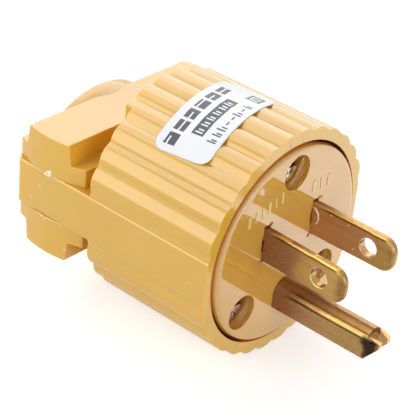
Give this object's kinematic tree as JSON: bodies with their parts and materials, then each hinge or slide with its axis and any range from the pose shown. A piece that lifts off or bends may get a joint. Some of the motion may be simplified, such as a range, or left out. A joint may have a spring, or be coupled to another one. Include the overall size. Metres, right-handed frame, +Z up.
{
  "type": "three-pin mains plug",
  "caption": "Round ribbed mains plug for wiring by hand, with two flat blades, a folded ground pin and a two-part cord clamp.",
  "frame": {"origin": "middle of the flat face that the pins stand on, on the plug's axis", "axes": "+Y along the plug's axis towards the cord end, so the pins point to -Y; +Z up, away from the ground pin; +X across, towards the neutral blade"},
  "size_m": [0.0398, 0.0666, 0.0415],
  "materials": {
    "shell_plastic": "glossy moulded",
    "insert_plastic": "glossy moulded",
    "clamp_plastic": "glossy moulded",
    "blade_brass": "tarnished, pitted",
    "ground_brass": "tarnished, drawn",
    "cover_screw_metal": "plated",
    "line_screw_metal": "bright",
    "neutral_screw_metal": "bright",
    "ground_screw_metal": "green",
    "plate_steel": "zinc plated",
    "clamp_screw_steel": "zinc plated",
    "clamp_insert_brass": "turned",
    "label_paper": "satin white"
  },
  "bodies": {
    "root": {"housing_shell": "shell_plastic", "face_insert": "insert_plastic", "upper_cord_clamp": "clamp_plastic", "lower_cord_clamp": "clamp_plastic", "line_blade": "blade_brass", "neutral_blade": "blade_brass", "ground_pin": "ground_brass", "cover_screw_top": "cover_screw_metal", "cover_screw_left": "cover_screw_metal", "cover_screw_right": "cover_screw_metal", "line_terminal_screw": "line_screw_metal", "neutral_terminal_screw": "neutral_screw_metal", "ground_terminal_screw": "ground_screw_metal", "line_pressure_plate": "plate_steel", "neutral_pressure_plate": "plate_steel", "ground_pressure_plate": "plate_steel", "clamp_screw_left": "clamp_screw_steel", "clamp_screw_right": "clamp_screw_steel", "clamp_insert_left": "clamp_insert_brass", "clamp_insert_right": "clamp_insert_brass", "rating_label": "label_paper"}
  },
  "joints": []
}
